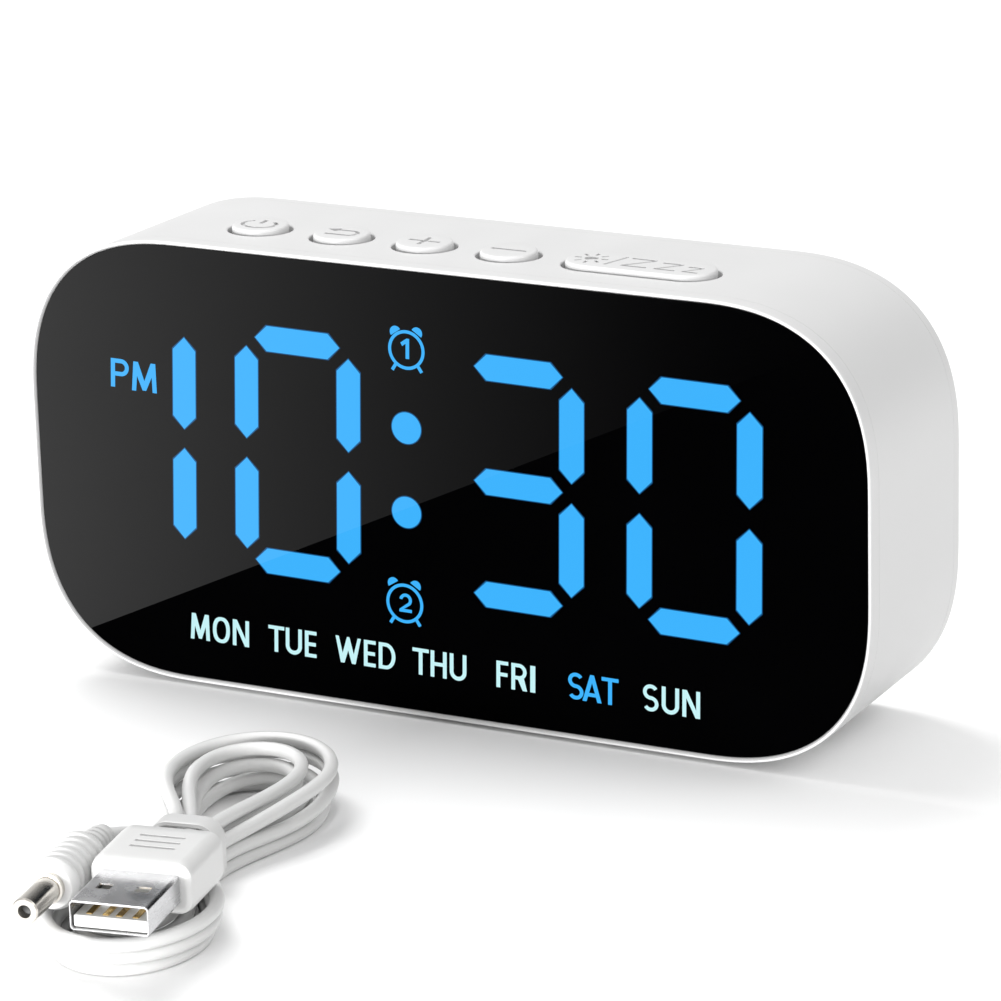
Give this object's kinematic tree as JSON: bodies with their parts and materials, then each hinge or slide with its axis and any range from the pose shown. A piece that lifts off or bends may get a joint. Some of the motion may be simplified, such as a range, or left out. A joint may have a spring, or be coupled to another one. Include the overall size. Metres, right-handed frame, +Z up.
{
  "type": "digital alarm clock",
  "caption": "Low rounded table clock with a mirror-black digital front, press keys along its top, a rear battery door and a loose tied power lead.",
  "frame": {"origin": "on the table, under the middle of the clock's housing", "axes": "+X to the right along the clock seen from its front, +Y from the front face to the back, +Z up"},
  "size_m": [0.15, 0.1545, 0.0761],
  "materials": {
    "white_abs": "fine satin",
    "key_white": "satin",
    "lens_black": "mirror gloss",
    "mask_film": "printed",
    "reflector_white": "matt",
    "board_green": "solder mask",
    "chip_black": "matt",
    "black_plastic": "satin",
    "steel": "zinc plated",
    "nickel": "nickel plated",
    "cell_wrap": "shrink wrap",
    "foot_rubber": "matt",
    "wire_red": "insulation",
    "ribbon_grey": "insulation",
    "cable_white": "soft jacket",
    "plug_white": "moulded"
  },
  "bodies": {
    "housing": {"front_frame": "white_abs", "main_shell": "white_abs", "rear_cover": "white_abs", "front_lens": "lens_black", "display_mask": "mask_film", "light_box": "reflector_white", "display_board": "board_green", "key_board": "board_green", "power_board": "board_green", "controller_chip": "chip_black", "dc_jack": "black_plastic", "buzzer": "black_plastic", "tact_switch_1": "black_plastic", "tact_switch_2": "black_plastic", "tact_switch_3": "black_plastic", "tact_switch_4": "black_plastic", "tact_switch_5": "black_plastic", "board_screw_1": "steel", "board_screw_2": "steel", "board_screw_3": "steel", "board_screw_4": "steel", "key_board_screw_1": "steel", "key_board_screw_2": "steel", "rear_screw_1": "steel", "rear_screw_2": "steel", "rear_screw_3": "steel", "rear_screw_4": "steel", "battery_contact_1": "nickel", "battery_contact_2": "nickel", "battery_contact_3": "nickel", "battery_contact_4": "nickel", "backup_cell_1": "cell_wrap", "backup_cell_2": "cell_wrap", "backup_cell_3": "cell_wrap", "rubber_foot_1": "foot_rubber", "rubber_foot_2": "foot_rubber", "rubber_foot_3": "foot_rubber", "rubber_foot_4": "foot_rubber", "dc_wire": "wire_red", "key_ribbon": "ribbon_grey"},
    "power_key": {"power_button": "key_white", "switch_plunger_1": "reflector_white"},
    "back_key": {"back_button": "key_white", "switch_plunger_2": "reflector_white"},
    "plus_key": {"plus_button": "key_white", "switch_plunger_3": "reflector_white"},
    "minus_key": {"minus_button": "key_white", "switch_plunger_4": "reflector_white"},
    "snooze_key": {"snooze_button": "key_white", "switch_plunger_5": "reflector_white"},
    "door": {"battery_door": "white_abs"},
    "power_cable": {"cable_hank": "cable_white", "cable_tie": "plug_white", "plug_lead": "cable_white", "usb_lead": "cable_white", "barrel_plug": "plug_white", "barrel_tip": "nickel", "usb_plug": "plug_white", "usb_shell": "steel"}
  },
  "joints": [
    {"name": "power_press", "type": "slide", "parent": "housing", "child": "power_key", "axis": [0, 0, -1], "range_m": [0, 0.0008], "stiffness_N_per_m": 300, "springref_m": -0.0005},
    {"name": "back_press", "type": "slide", "parent": "housing", "child": "back_key", "axis": [0, 0, -1], "range_m": [0, 0.0008], "stiffness_N_per_m": 300, "springref_m": -0.0005},
    {"name": "plus_press", "type": "slide", "parent": "housing", "child": "plus_key", "axis": [0, 0, -1], "range_m": [0, 0.0008], "stiffness_N_per_m": 300, "springref_m": -0.0005},
    {"name": "minus_press", "type": "slide", "parent": "housing", "child": "minus_key", "axis": [0, 0, -1], "range_m": [0, 0.0008], "stiffness_N_per_m": 300, "springref_m": -0.0005},
    {"name": "snooze_press", "type": "slide", "parent": "housing", "child": "snooze_key", "axis": [0, 0, -1], "range_m": [0, 0.0008], "stiffness_N_per_m": 300, "springref_m": -0.0005},
    {"name": "door_hinge", "type": "hinge", "parent": "housing", "child": "door", "pos_m": [-0.022, 0.018, 0.01825], "axis": [-1, 0, 0], "range_deg": [0, 90]},
    {"name": "cable_pull", "type": "slide", "parent": "housing", "child": "power_cable", "axis": [0, -1, 0], "range_m": [0, 0.05]}
  ]
}
